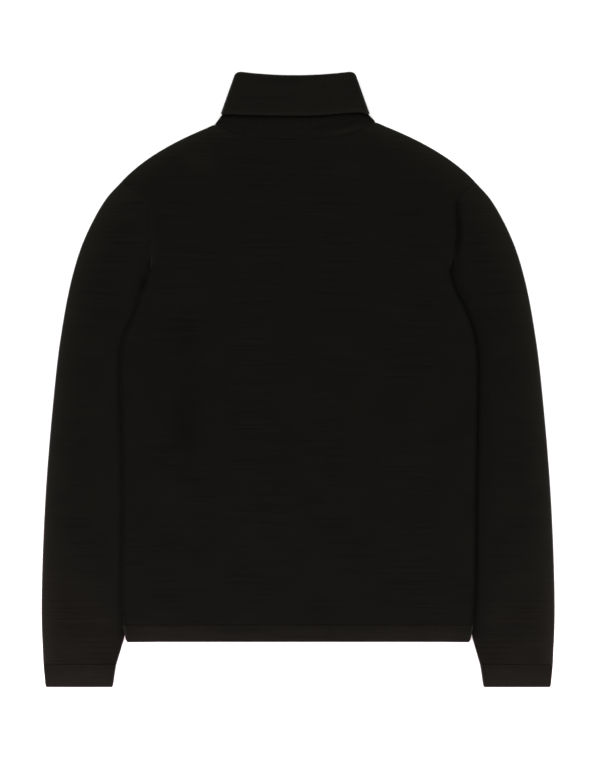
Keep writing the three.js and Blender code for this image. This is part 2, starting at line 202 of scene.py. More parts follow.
# Painted light (above zero) or painted shade (below zero) where the knit's ridges, troughs and
# folds catch or lose the light, laid out the same way.
PAINTED_LIGHT_AND_SHADE = [
    ((-147, 128), (-134, -10), (-149, -178), 19, -0.2),
    ((-156, -14), (-150, -58), (-153, -106), 13, -0.13),
    ((205, 250), (204, 196), (202, 134), 5.0, -0.7),
    ((-204, 134), (-205, 124), (-207, 112), 4, -0.5),
    ((-226, 252), (-202, 238), (-195, 212), 3.2, 0.32),
    ((-195, 222), (-192.5, 170), (-194, 112), 3.4, 0.24),
    ((-156, 282), (-126, 278), (-92, 276), 12, 0.24),
    ((34, 276), (62, 272), (96, 276), 10, 0.14),
    ((-50, 92), (20, 84), (90, 96), 13, -0.08),
    ((60, -150), (120, -170), (186, -158), 16, -0.07),
    ((30, 317), (66, 320), (98, 334), 2.4, 0.4),
]

# Where the armholes and the left side were tugged aside when the sweater was smoothed out: the
# middle of each place, its reach across and along, and how far the knit moved there.
TUGS = [
    ((202, 190), (15, 38), 6.5),
    ((-206, 224), (15, 24), 6.0),
    ((-198, 164), (15, 40), 6.5),
    ((-218, 84), (18, 36), 6.5),
    ((-230, -110), (13, 150), 3.4),
]

COLLAR_CREASES = [
    ((-95, 335), (-87, 337), (-78, 341), 3.0, 0.9),
    ((77, 343), (74, 338), (70, 332), 2.6, 0.9),
    ((44, 318), (68, 321), (91, 331), 3.2, 1.0),
    ((-60, 318), (-30, 316), (4, 316), 4.0, 0.4),
]

# The lower layers lie on the surface, so their creases only rise from it.
LOWER_CREASES = [
    ((-140, 160), (-60, 140), (40, 150), 14, 0.7),
    ((-100, 20), (0, 8), (110, 26), 16, 0.8),
    ((-60, -120), (40, -134), (140, -112), 14, 0.6),
    ((-150, -220), (-80, -236), (0, -222), 13, 0.6),
    ((60, 230), (110, 214), (150, 180), 12, 0.7),
]

# ------------------------------------------------------------------------------------- settings


def linear(hex_colour):
    """An sRGB hex colour as linear red, green and blue."""
    channels = [int(hex_colour[at : at + 2], 16) / 255 for at in (1, 3, 5)]
    return tuple(c / 12.92 if c <= 0.04045 else ((c + 0.055) / 1.055) ** 2.4 for c in channels)


def length(name, description, default):
    """A property that holds a length in metres."""
    return FloatProperty(name=name, description=description, default=default, unit="LENGTH", precision=5)


def colour(name, description, default):
    """A property that holds a colour, given as sRGB hex."""
    return FloatVectorProperty(
        name=name, description=description, default=linear(default), subtype="COLOR", min=0, max=1
    )


class SweaterCloth(bpy.types.PropertyGroup):
    """How thick the knit is, and how it lies."""

    jersey: length("Jersey", "Thickness of the jersey", 0.0020)
    collar_rib: length("Collar rib", "Thickness of the collar's rib", 0.0024)
    band_rib: length("Band rib", "Thickness of the cuffs and the hem band", 0.0026)
    panel_air: length("Panel air", "Least gap between the two panels", 0.0012)
    sleeve_air: length("Sleeve air", "Least gap inside a sleeve", 0.0009)
    band_air: length("Band air", "Least gap inside the cuffs and the hem band", 0.0007)
    body_loft: length("Body loft", "How far the top of the body fills out", 0.0034)
    sleeve_loft: length("Sleeve loft", "How far the top of a sleeve fills out", 0.0072)
    crease: FloatProperty(name="Creases", description="Depth of the soft creases", default=1.0, min=0)


class SweaterKnit(bpy.types.PropertyGroup):
    """The stitches and the ribs."""

    wale: length("Wale", "Width of one column of stitches", 0.0016)
    course: length("Course", "Height of one row of stitches", 0.0012)
    collar_ribs: IntProperty(
        name="Collar ribs", description="Ribs across one side of the collar", default=34, min=4
    )
    band_rib_pitch: length("Band rib", "Distance between two ribs of a band", 0.0028)
    collar_rib_depth: length("Collar rib depth", "Half the height of a rib of the collar", 0.00026)
    band_rib_depth: length("Band rib depth", "Half the height of a rib of a band", 0.00014)


class SweaterColours(bpy.types.PropertyGroup):
    """Yarn, floor and light."""

    # The ramp from yarn to raised yarn paints shade between the stitches, mixed with uneven dye.
    yarn: colour("Yarn", "Black dyed yarn, deep between the stitches", "#010101")
    raised: colour("Raised yarn", "The same yarn where the stitches stand up", "#100F0B")
    floor: colour("Floor", "Pale studio floor", "#FBFBFA")
    foot_light: colour("Foot light", "Warm light past the cuffs", "#FFE2EE")


class SweaterStage(bpy.types.PropertyGroup):
    """Camera and lights."""

    lens: FloatProperty(name="Lens", description="Focal length in millimetres", default=200, min=1)
    field: length("Field", "Length of the picture on the surface", 0.9945)
    centre_x: length("Centre X", "Middle of the picture, across", 0.0024)
    centre_y: length("Centre Y", "Middle of the picture, along", -0.0044)
    surround: FloatProperty(name="Surround", description="Strength of the white surround", default=0.85)
    overhead: FloatProperty(name="Overhead", description="Strength of the overhead light", default=0.9)
    left: FloatProperty(name="Left", description="Strength of the light at the upper left", default=0.9)
    right: FloatProperty(name="Right", description="Strength of the light on the right", default=0.85)
    head: FloatProperty(name="Head", description="Strength of the light past the collar", default=0.7)
    foot_left: FloatProperty(name="Foot left", description="Power past the left cuff", default=4.1)
    foot_right: FloatProperty(name="Foot right", description="Power past the right cuff", default=3.2)
    contrast: FloatProperty(name="Contrast", description="Gamma of the finished picture", default=0.85)


# --------------------------------------------------------------------------------- lines in plan


def mix(start, end, share):
    """A value part of the way from start to end."""
    return start + (end - start) * share


def smoothstep(value, low, high):
    """0 up to low, 1 from high on, and a smooth turn between them. Low may be the larger one."""
    share = min(1.0, max(0.0, (value - low) / (high - low)))
    return share * share * (3 - 2 * share)


def between_knots(knots, share):
    """A point of the centripetal curve through four knots, between the middle two."""
    times = [0.0]
    for near, far in zip(knots, knots[1:]):
        times.append(times[-1] + max(1e-6, (far - near).length ** 0.5))
    now = mix(times[1], times[2], share)
    points = knots
    for spans in (((0, 1), (1, 2), (2, 3)), ((0, 2), (1, 3)), ((1, 2),)):
        points = [
            mix(points[at], points[at + 1], (now - times[start]) / (times[end] - times[start]))
            for at, (start, end) in enumerate(spans)
        ]
    return points[0]


class PlanLine:
    """A line in plan through close points, read by its share of the length."""

    def __init__(self, points):
        self.points = points
        self.reached = [0.0]
        for near, far in zip(points, points[1:]):
            self.reached.append(self.reached[-1] + (far - near).length)
        self.length = self.reached[-1]

    def at(self, share):
        """The point at a share of the length, from 0 to 1."""
        target = min(1.0, max(0.0, share)) * self.length
        far = min(len(self.points) - 1, max(1, bisect.bisect_left(self.reached, target)))
        start = self.reached[far - 1]
        return mix(
            self.points[far - 1], self.points[far], (target - start) / (self.reached[far] - start)
        )

    def mirrored(self):
        """The same line on the other side of the body."""
        return PlanLine([Vector((-point.x, point.y)) for point in self.points])

    def joined(self, other):
        """This line, carried on by another that starts at its end."""
        return PlanLine(self.points + other.points[1:])

    def backwards(self):
        """The same line from its end to its start."""
        return PlanLine(self.points[::-1])

    def spots(self, gap):
        """Points along the line, gap apart."""
        count = max(2, math.ceil(self.length / gap))
        return [self.at(index / count) for index in range(count + 1)]


def line_through(rows):
    """Straight stretches through rows of x and y."""
    return PlanLine([Vector(row) for row in rows])


def curve_through(rows, stretches=16):
    """A smooth curve through rows of x and y."""
    knots = [Vector(row) for row in rows]
    padded = [2 * knots[0] - knots[1], *knots, 2 * knots[-1] - knots[-2]]
    points = [knots[0]]
    for start in range(len(knots) - 1):
        four = padded[start : start + 4]
        points += [between_knots(four, step / stretches) for step in range(1, stretches + 1)]
    return PlanLine(points)


def bend(start, middle, end, stretches=48):
    """A curve from start to end that heads for the middle point."""
    a, b, c = Vector(start), Vector(middle), Vector(end)
    shares = [step / stretches for step in range(stretches + 1)]
    return PlanLine([mix(mix(a, b, share), mix(b, c, share), share) for share in shares])


def table_at(rows, at):
    """The last values of a table whose first column falls, read at a value of that column."""
    last = len(rows) - 1
    far = next((index for index in range(1, last) if rows[index][0] <= at), last)
    near = far - 1
    share = (rows[near][0] - at) / (rows[near][0] - rows[far][0])
    return [mix(a, b, share) for a, b in zip(rows[near][1:], rows[far][1:])]


shoulder = bend(*SHOULDER)
armhole = curve_through(ARMHOLE)
body_side = curve_through(BODY_SIDE)
sleeve_outer = curve_through(SLEEVE_OUTER)
sleeve_inner = curve_through(SLEEVE_INNER)


def crossing(points, axis, at):
    """The other coordinate of a line where the one along an axis, which grows, comes to a value."""
    far = min(len(points) - 1, max(1, bisect.bisect_left(points, at, key=lambda point: point[axis])))
    near, past = points[far - 1], points[far]
    share = (at - near[axis]) / (past[axis] - near[axis])
    return mix(near[1 - axis], past[1 - axis], share)


def shoulder_at(x):
    """How far up the shoulder is, at an x on either side."""
    points = shoulder.points
    return crossing(points, 0, min(max(abs(x), points[0].x), points[-1].x))


def neck_seam(middle_y, bow):
    """The neck seam's y as a function of x."""

    def seam_at(x):
        side = 1 if x >= COLLAR_SHIFT else -1
        share = min(1.0, abs(x - COLLAR_SHIFT) / NECK_HALF)
        return mix(middle_y, shoulder_at(COLLAR_SHIFT + side * NECK_HALF), share**bow)

    return seam_at


back_neck = neck_seam(BACK_NECK_Y, BACK_NECK_BOW)
front_neck = neck_seam(FRONT_NECK_Y, FRONT_NECK_BOW)


def tugged(x, y):
    """The x of a point after the armholes and the left side were tugged aside."""
    moved = x
    for (middle_x, middle_y), (across, along), move in TUGS:
        moved += move * math.exp(-(((x - middle_x) / across) ** 2) - ((y - middle_y) / along) ** 2)
    return moved


def patch_between(bottom, top, left, right):
    """A plan patch between four edges, each a function of 0 to 1."""
    corners = (bottom(0), bottom(1), top(0), top(1))

    def place(u, v):
        point = bottom(u) * (1 - v) + top(u) * v + left(v) * (1 - u) + right(v) * u
        point -= corners[0] * ((1 - u) * (1 - v)) + corners[1] * (u * (1 - v))
        return point - corners[2] * ((1 - u) * v) - corners[3] * (u * v)

    return place


def reach_inward(plan, u, v, along_u):
    """How far in from its edge a patch moves for a whole unit of u, or of v."""
    step = 0.004
    here = plan(u, v)
    by_u = plan(u - step if u > 0.5 else u + step, v) - here
    by_v = plan(u, v - step if v > 0.5 else v + step) - here
    edge = by_v.length if along_u else by_u.length
    return abs(by_u.cross(by_v)) / edge / step


# ---------------------------------------------------------------------- how high the knit lies


def nearness(lines, gap=0.5):
    """How near a point in plan is to the closest of some lines."""
    spots = [spot for line in lines for spot in line.spots(gap)]
    tree = kdtree.KDTree(len(spots))
    for index, spot in enumerate(spots):
        tree.insert(spot.to_3d(), index)
    tree.balance()
    return lambda x, y: tree.find((x, y, 0))[2]


def both_sides(lines):
    """Each line and its mirror."""
    return [turned for line in lines for turned in (line, line.mirrored())]


def outline():
    """The folds that bound the layers that show: shoulders, sides, sleeves and bands."""
    outer = line_through([(row[2], row[0]) for row in CUFF_RINGS])
    inner = line_through([(row[1], row[0]) for row in CUFF_RINGS])
    hem_ends = line_through([(row[2], row[0]) for row in HEM_RINGS])
    shown = PlanLine([point for point in sleeve_inner.points if point.y < HEM_LINE])
    return both_sides([shoulder, body_side, sleeve_outer, shown, outer, inner, hem_ends])


from_outline = nearness(outline())
from_silhouette = nearness(both_sides([shoulder, sleeve_outer]))
from_armhole = nearness(both_sides([armhole]))
from_body_side = nearness(both_sides([body_side]))


def climbed_at(y):
    """How far out the body is all the way up."""
    rows = [(row[1], row[0]) for row in CLIMBED]
    return table_at(rows, min(CLIMBED[0][1], max(HEM_END, y)))[0]


def body_lift(x, y):
    """How high the underside of the body stands over the surface."""
    full = climbed_at(y)
    return TUCK_LIFT * smoothstep(abs(x), full - TUCK_RAMP, full) * (1 - smoothstep(y, *TUCK_FADE))


def bridging(x, y):
    """How far the upper layer stands off the lower one where it bridges the tucked sleeve's edge."""
    full = climbed_at(y)
    wide = smoothstep(abs(x), full - BRIDGED * TUCK_RAMP, full)
    steep = smoothstep(abs(x), full - TUCK_RAMP, full)
    return TUCK_LIFT * (wide - steep) * (1 - smoothstep(y, *TUCK_FADE))


def side_at(y):
    """The x of the body's side."""
    return crossing(body_side.points, 1, y)


class Creases:
    """Soft troughs and ridges, or places of painted shade and painted light, from a table of rows."""

    def __init__(self, rows):
        self.rows = []
        for start, middle, end, width, height in rows:
            points = bend(start, middle, end, 10).points
            reach = 2.6 * width
            low = (min(p.x for p in points) - reach, min(p.y for p in points) - reach)
            high = (max(p.x for p in points) + reach, max(p.y for p in points) + reach)
            self.rows.append((points, width, height, low, high))

    def at(self, x, y):
        """The height, or the painted light and shade, that all the rows add up to at a point."""
        total = 0.0
        here = Vector((x, y))
        for points, width, height, low, high in self.rows:
            if low[0] < x < high[0] and low[1] < y < high[1]:
                total += height * self.strength(here, points, width)
        return total

    @staticmethod
    def strength(here, points, width):
        """1 on the middle of a crease, and 0 off it and past its ends."""
        nearest = 1e9
        along = 0.0
        for index, (near, far) in enumerate(zip(points, points[1:])):
            stretch = far - near
            share = min(1.0, max(0.0, (here - near).dot(stretch) / stretch.length_squared))
            gap = (here - near - stretch * share).length
            if gap < nearest:
                nearest = gap
                along = (index + share) / (len(points) - 1)
        ends = smoothstep(along, 0, 0.35) * (1 - smoothstep(along, 0.6, 1))
        return math.exp(-((nearest / width) ** 2)) * ends


# How the top of a sleeve rounds off towards its folds. Down from the first y it fills out more,
# and fully from the second on, but for a short reach in from its folds.
SLEEVE_ROUND_REACH = 42
SLEEVE_ROUND_POWER = 2.4
FOREARM_LOFT = 1.4
FOREARM_STARTS = (120, 70)
FOREARM_EDGE_REACH = 3

# The reach in from a fold over which the body, its pressed edge, the ridge beside its armhole
# and the creases come up.
BODY_ROUND_REACH = 14
PRESSED_REACH = 4
RIDGE_EDGE_REACH = 8
CREASE_EDGE_REACH = 8

# An armhole seam holds the knit down: by these shares, this far on either side. The body rises
# beside it in a low ridge: its height, how far from the seam it runs and its width.
SEAM_HOLD = {"sleeve": (0.9, 15), "body": (0.75, 5)}
SEAM_RIDGE = (0.7, 3.4, 2)

# The bands hold the knit down by this share, this far up from the hem line.
BAND_HOLD = (0.4, 40)

# The uneven rolls of the knit: how high, how wide and how tall each kind is, and the level at
# which its noise is read.
ROLLS = [(0.7, 85, 38, 1.7), (0.25, 30, 20, 7.1)]

# How far a lower layer rises by itself, the width, height and level of that noise, and how far
# in from its folds it leaves the surface.
LOWER_RISE = 0.3
LOWER_ROLLS = (60, 45, 4.4)
LOWER_EDGE = (6, 40)

# Painted light (above zero) or painted shade (below zero) on the upper layers, and how far it
# reaches: a sheen painted along the outer folds, shadow painted along the body's side folds and
# on the sleeves beside them, light painted on the left sleeve there, on the sleeves overall and
# towards the cuffs, and over the bands' seams. The side folds' have their middle in between.
FOLD_PAINTED_SHEEN = (1.15, 12)
LEFT_SIDE_PAINTED_SHADOW = (-0.6, 0, 3.0)
RIGHT_SIDE_PAINTED_SHADOW = (-0.8, 0, 3.0)
SLEEVE_PAINTED_LIGHT = 0.08
CUFFWARD_PAINTED_LIGHT = (0.2, 110)
LEFT_SLEEVE_PAINTED_LIGHT = (0.7, 3)
LEFT_SLEEVE_PAINTED_SHADOW = (-0.08, 15)
RIGHT_SLEEVE_PAINTED_SHADOW = (-0.32, 18)
SEAM_PAINTED_LIGHT = 0.45

upper_creases = Creases(UPPER_CREASES)
lower_creases = Creases(LOWER_CREASES)
painted_light_and_shade = Creases(PAINTED_LIGHT_AND_SHADE)
collar_creases = Creases(COLLAR_CREASES)


def roll(x, y):
    """The broad uneven rolls of a knit that has been smoothed by hand, longer across than along."""
    return sum(high * noise.noise((x / wide, y / tall, level)) for high, wide, tall, level in ROLLS)


def fading(gap, most, reach):
    """A value that is most at a line and dies away from it."""
    return most * math.exp(-gap / reach)


def swelling(at, most, middle, width):
    """A value that is most at a middle and dies away softly on either side of it."""
    return most * math.exp(-(((at - middle) / width) ** 2))


def upper_relief(x, y, cloth, sleeve):
    """How far an upper layer stands over its flat place."""
    edge = from_outline(x, y)
    seam = from_armhole(x, y)
    if sleeve:
        rounding = max(0.0, 1 - edge / SLEEVE_ROUND_REACH) ** SLEEVE_ROUND_POWER
        loft = cloth.sleeve_loft / MM * (1 - rounding)
        fuller = 1 - fading(edge, 1, FOREARM_EDGE_REACH)
        loft += FOREARM_LOFT * fuller * smoothstep(y, *FOREARM_STARTS)
        loft *= 1 - fading(seam, *SEAM_HOLD["sleeve"])
    else:
        loft = cloth.body_loft / MM * (1 - fading(edge, 1, BODY_ROUND_REACH))
        loft *= 1 - fading(seam, *SEAM_HOLD["body"])
        loft += swelling(seam, *SEAM_RIDGE) * smoothstep(edge, 0, RIDGE_EDGE_REACH)
        loft += bridging(x, y) - fading(edge, PRESSED, PRESSED_REACH)
    loft *= 1 - fading(max(0.0, y - HEM_LINE), *BAND_HOLD)
    soft = (roll(x, y) + upper_creases.at(x, y)) * cloth.crease
    return loft + soft * (1 - fading(edge, 1, CREASE_EDGE_REACH))


def upper_painted_light(x, y, sleeve):
    """How much painted light or painted shade an upper layer gets.

    A sheen is painted along its outer folds, and shadow along the body's side folds, more on
    the right, and on the right sleeve beside them. Light is painted on the left sleeve there.
    """
    gap = from_body_side(x, y)
    tone = fading(from_silhouette(x, y), *FOLD_PAINTED_SHEEN) + painted_light_and_shade.at(x, y)
    if not sleeve:
        side_shadow = RIGHT_SIDE_PAINTED_SHADOW if x > 0 else LEFT_SIDE_PAINTED_SHADOW
        return tone + swelling(gap, *side_shadow) + painted_seam_light(y - HEM_LINE)
    tone += SLEEVE_PAINTED_LIGHT + fading(y - CUFF_LINE, *CUFFWARD_PAINTED_LIGHT) + painted_seam_light(y - CUFF_LINE)
    if x > 0:
        return tone + fading(gap, *RIGHT_SLEEVE_PAINTED_SHADOW)
    return tone + fading(gap, *LEFT_SLEEVE_PAINTED_LIGHT) + fading(gap, *LEFT_SLEEVE_PAINTED_SHADOW)


def painted_seam_light(from_seam):
    """How much light is painted over a band's seam, where its loops stand out."""
    return SEAM_PAINTED_LIGHT * math.exp(-max(0.0, from_seam))


def lower_relief(x, y, cloth):
    """How far a lower layer rises from the surface, which it leaves only away from its folds."""
    wide, tall, level = LOWER_ROLLS
    uneven = 1 + noise.noise((x / wide, y / tall, level))
    rise = (LOWER_RISE * uneven + lower_creases.at(x, y)) * cloth.crease
    return max(0.0, rise) * smoothstep(from_outline(x, y), *LOWER_EDGE)


# ------------------------------------------------------------------------------------ the meshes

# How far in from a rim the knit rounds off, and the share of its thickness that is left at a
# free rim, at a seam and at a band's seam. Two pieces overlap by a hair on each side of a seam.
RIM_ROUND = 1.0
RIM_LEAST = 0.18
SEAM_LEAST = 0.6
BAND_SEAM_LEAST = 0.86
SEAM_OVERLAP = 0.15

# How much more painted light a band gets at its free edge than at its seam.
BAND_PAINTED_LIGHT = 0.56

# How finely a grid is drawn: its stretches across and along a panel; over, under and along a
# sleeve; across a rib; and down a band. The close rows at a rim lie this far in from it.
GRIDS = {"back": (168, 222), "front": (96, 130), "sleeve": (56, 30, 180)}
STATIONS_A_RIB = {"band": 6, "collar": 8}
BAND_ROWS = 9
RIM_ROWS = [0.0, 0.25, 0.55, 1.0, 1.6]


def fullness_at(from_rim, least=SEAM_LEAST):
    """The share of its thickness that the knit has at a distance from its rim."""
    inward = min(1.0, max(0.0, from_rim / RIM_ROUND))
    return max(least, math.sqrt(1 - (1 - inward) ** 2))


def band_fullness(along, whole, least):
    """The fullness of a band between its seam, at 0, and its free edge."""
    return min(fullness_at(along, least), fullness_at(whole - along, RIM_LEAST))


def knit_sheet(name, rows, thickness, around):
    """A sheet of knit, from rows of stations.

    Each station is a place, the (u, v) of the cloth there, how full the knit is and its painted
    light and shade.
    """
    across = len(rows[0]) - 1
    along = len(rows) - 1
    sheet = bmesh.new()
    layer = sheet.loops.layers.uv.new("knit")
    bmesh.ops.create_grid(sheet, x_segments=across, y_segments=along, size=0.5)
    fullness = sheet.verts.layers.deform.verify()
    # Each vertex carries its painted light and shade.
    shading = sheet.verts.layers.float.new("shade")
    spots = {}
    for vertex in sheet.verts:
        column = round((vertex.co.x + 0.5) * across)
        row = round((vertex.co.y + 0.5) * along)
        spots[vertex] = rows[row][column]
    for face in sheet.faces:
        for loop in face.loops:
            loop[layer].uv = spots[loop.vert][1]
    for vertex, (place, _, full, shade) in spots.items():
        vertex.co = place * MM
        vertex[fullness][0] = full
        vertex[shading] = shade
    if around:
        bmesh.ops.remove_doubles(sheet, verts=sheet.verts, dist=1e-6)
    bmesh.ops.recalc_face_normals(sheet, faces=sheet.faces)
    for face in sheet.faces:
        face.smooth = True
    mesh = bpy.data.meshes.new(name)
    sheet.to_mesh(mesh)
    sheet.free()
    piece = bpy.data.objects.new(name, mesh)
    piece.vertex_groups.new(name="fullness")
    bpy.context.scene.collection.objects.link(piece)
    wall = piece.modifiers.new("Thickness", "SOLIDIFY")
    wall.thickness = thickness
    wall.offset = 0
    wall.use_quality_normals = True
    wall.vertex_group = "fullness"
    return piece


def settle(piece, material, node):
    """Gives a piece its material and puts it in the place of its CAD node."""
    piece.data.materials.append(material)
    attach(piece, "root")
    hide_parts(node)


def spread(count):
    """count + 1 shares from 0 to 1."""
    return [step / count for step in range(count + 1)]


def rim_shares(total, count, free):
    """Shares down a band of a total length, with closer rows at its rims."""
    start = [at / total for at in RIM_ROWS]
    end = [1 - at / total for at in RIM_ROWS] if free else [1.0]
    middle = [mix(start[-1], end[-1], share) for share in spread(count)[1:-1]]
    return start + middle + end[::-1]


# Turned edges of a panel: angles round a fold, or distances in from a plain seam.
FOLD_TURNS = [math.radians(angle) for angle in (0, 18, 36, 54, 72, 90)]
SEAM_INSETS = [2.6, 1.3, 0.75, 0.35, 0.08, -SEAM_OVERLAP]
PANEL_TALL = BACK_NECK_Y - HEM_LINE

# Where an edge goes over from a seam to a fold: past the armpit, in shares of the panel's
# height, and past the neck, in mm.
SEAM_TO_FOLD = {"armpit": 0.04, "neck": 12}


def panel_rows(cloth, face, neck, counts):
    """The places of a body panel. face is 1 for the back, on top, and -1 for the front."""
    jersey = cloth.jersey / MM
    radius = (jersey + cloth.panel_air / MM) / 2
    side = body_side.joined(armhole)
    split = body_side.length / side.length

    def hem(u):
        return Vector((mix(-HEM_HALF, HEM_HALF, u), HEM_LINE))

    def top(u):
        way = 1 if u >= 0.5 else -1
        share = abs(2 * u - 1)
        neck_point = COLLAR_SHIFT + way * NECK_HALF
        if share <= 0.5:
            x = mix(COLLAR_SHIFT, neck_point, 2 * share)
            return Vector((x, neck(x)))
        x = mix(neck_point, way * SHOULDER_TIP[0], 2 * share - 1)
        return Vector((x, shoulder_at(x)))

    plan = patch_between(hem, top, side.mirrored().at, side.at)

    def edge(index, folded):
        """The inset, level and fullness of an edge station, part seam and part fold."""
        turn = FOLD_TURNS[index]
        fold_inset = jersey / 2 + radius * (1 - math.sin(turn))
        inset = mix(SEAM_INSETS[index], fold_inset, folded)
        full = fullness_at(inset + SEAM_OVERLAP)
        return inset, mix(1, math.cos(turn), folded), mix(full, 1, folded)

    last = len(FOLD_TURNS) - 1
    inner_columns = [("in", share) for share in spread(counts[0])[1:-1]]
    columns = [("left", last - k) for k in range(last + 1)] + inner_columns
    columns += [("right", k) for k in range(last + 1)]
    inner_rows = [("in", share) for share in rim_shares(PANEL_TALL, counts[1], free=False)[:-1]]
    rows = inner_rows + [("top", k) for k in range(last + 1)]

    def side_station(end, index, v, reach):
        folded = 1 - smoothstep(v, split, split + SEAM_TO_FOLD["armpit"])
        inset, level, full = edge(index, folded)
        share = inset / reach
        return (1 - share if end else share), level, full

    def across_at(column, v, reaches):
        kind, value = column
        if kind == "left":
            return side_station(0, value, v, reaches[0])
        if kind == "right":
            return side_station(1, value, v, reaches[1])
        start = side_station(0, 0, v, reaches[0])[0]
        end = side_station(1, 0, v, reaches[1])[0]
        return mix(start, end, value), 1, 1

    top_reaches = (reach_inward(plan, 0, 1, True), reach_inward(plan, 1, 1, True))
    tops = []
    for column in columns:
        u, _, _ = across_at(column, 1, top_reaches)
        off_neck = abs(top(min(1, max(0, u))).x - COLLAR_SHIFT) - NECK_HALF
        folded = smoothstep(off_neck, 0, SEAM_TO_FOLD["neck"])
        reach = reach_inward(plan, min(1, max(0, u)), 1, False)
        tops.append([(1 - edge(k, folded)[0] / reach, *edge(k, folded)[1:]) for k in range(last + 1)])

    hem_start = -SEAM_OVERLAP / PANEL_TALL
    made = []
    for kind, value in rows:
        v_side = value if kind == "in" else 1
        reaches = (reach_inward(plan, 0, v_side, True), reach_inward(plan, 1, v_side, True))
        row = []
        for number, column in enumerate(columns):
            u, level, full = across_at(column, v_side, reaches)
            if kind == "in":
                v = mix(hem_start, tops[number][0][0], value)
                along_level = 1
                along_full = fullness_at((v - hem_start) * PANEL_TALL, BAND_SEAM_LEAST)
            else:
                v, along_level, along_full = tops[number][value]
            level = min(level, along_level)
            x, y = plan(u, v)
            shade = 0.0
            # Only the back, on top, gets painted light and shade.
            if face > 0:
                relief = upper_relief(x, y, cloth, False) * max(0.0, level)
                shade = upper_painted_light(x, y, False)
            else:
                relief = lower_relief(x, y, cloth) * max(0.0, level)
            height = body_lift(x, y) + jersey / 2 + radius * (1 + face * level) + relief
            full = min(full, along_full)
            row.append((Vector((tugged(x, y), y, height)), (x * MM, y * MM), full, shade))
        made.append(row)
    return made


def tube_stations(upper, lower, turns=7):
    """Stations round a flattened tube, from its first fold over the upper layer and back under.

    Each is a share across, a level from 1 on top to -1 below, and a reach past a fold's centre.
    """
    angles = [math.pi * step / turns for step in range(1, turns)]
    stations = [(share, 1.0, 0.0) for share in spread(upper)]
    stations += [(1.0, math.cos(angle), math.sin(angle)) for angle in angles]
    stations += [(1 - share, -1.0, 0.0) for share in spread(lower)]
    stations += [(0.0, -math.cos(angle), math.sin(angle)) for angle in angles]
    return stations + stations[:1]


def across_tube(station, radius, thickness, start_width, end_width):
    """Where a station lies between the tube's two outer folds, from 0 to 1."""
    share, level, reach = station
    start = (radius + thickness / 2) / start_width
    end = (radius + thickness / 2) / end_width
    if reach and share == 0:
        return start - radius * reach / start_width
    if reach:
        return 1 - end + radius * reach / end_width
    return mix(start, 1 - end, share)


def round_lengths(points):
    """How far round a ring each of its points is."""
    reached = [0.0]
    for near, far in zip(points, points[1:]):
        reached.append(reached[-1] + (far - near).length)
    return reached


def lay_tube(rings, level=False):
    """Rows of a sheet from rings: places, their painted light and shade, the distance along and the
    fullness.

    Where level is true, the knit's own rows run level over the surface.
    """
    made = []
    for points, tones, along, full in rings:
        row = []
        for point, around, tone in zip(points, round_lengths(points), tones):
            climb = point.y if level else along
            row.append((point, (around * MM, climb * MM), full, tone))
        made.append(row)
    return made


# At its head a sleeve has the body's air, and its own from this share of its length on.
HEAD_SHARE = 0.15

# A sleeve is pressed flat at the armpit: the air that is left there, where that starts and is
# complete across the sleeve, and the share of its length by which it ends.
PRESSED_AIR = 0.4
PRESSED_FROM = 0.1  # before the end of the armhole seam
PRESSED_FULLY = 0.85
PRESSED_SHARE = 0.12

# The head rides up with the body's lift: not at all at the first y, fully from the second on
# up, and this far down the sleeve.
HEAD_LIFT = (146, 164)
HEAD_LIFT_REACH = 14


def sleeve_rows(cloth, side, counts):
    """The places of a sleeve, from its armhole to its cuff."""
    jersey = cloth.jersey / MM
    seam = armhole.backwards()
    head = seam.joined(curve_through(HIDDEN_CAP))
    split = seam.length / head.length
    outer_end = sleeve_outer.at(1)
    inner_end = sleeve_inner.at(1)
    plan = patch_between(
        head.at, lambda w: mix(outer_end, inner_end, w), sleeve_outer.at, sleeve_inner.at
    )
    stations = tube_stations(*counts[:2])
    seam_reaches = [reach_inward(plan, station[0], 0, False) for station in stations]
    total = sleeve_outer.length
    made = []
    for row in rim_shares(total, counts[2], free=True):
        points = []
        tones = []
        for station, seam_reach in zip(stations, seam_reaches):
            rough, level, _ = station
            overlap = SEAM_OVERLAP / seam_reach
            s = mix(-overlap, 1 + SEAM_OVERLAP / total, row)
            air = mix(cloth.panel_air, cloth.sleeve_air, smoothstep(s, 0, HEAD_SHARE)) / MM
            pressed = smoothstep(rough, split - PRESSED_FROM, PRESSED_FULLY)
            pressed *= 1 - smoothstep(s, 0, PRESSED_SHARE)
            radius = (jersey + mix(air, PRESSED_AIR, pressed)) / 2
            widths = (reach_inward(plan, 0, s, True), reach_inward(plan, 1, s, True))
            w = across_tube(station, radius, jersey, *widths)
            x, y = plan(w, s)
            upward = (1 + level) / 2
            relief = 0.0
            if y > TUCK[1] or y < HEM_LINE or x > side_at(y):
                relief = upper_relief(side * x, y, cloth, True)
            start = head.at(rough)
            seam_lift = body_lift(start.x, start.y) * smoothstep(start.y, *HEAD_LIFT)
            relief += swelling(max(0, s) * total, seam_lift, 0, HEAD_LIFT_REACH)
            height = jersey / 2 + radius * (1 + level) + relief * upward
            points.append(Vector((tugged(side * x, y), y, height)))
            # The sleeve's upper layer gets painted light and shade.
            tones.append(upper_painted_light(side * x, y, True) if level > -0.5 else 0.0)
        full = min(fullness_at(row * total), fullness_at((1 - row) * total, BAND_SEAM_LEAST))
        made.append((points, tones, (1 - row) * total, full))
    return lay_tube(made, level=True)


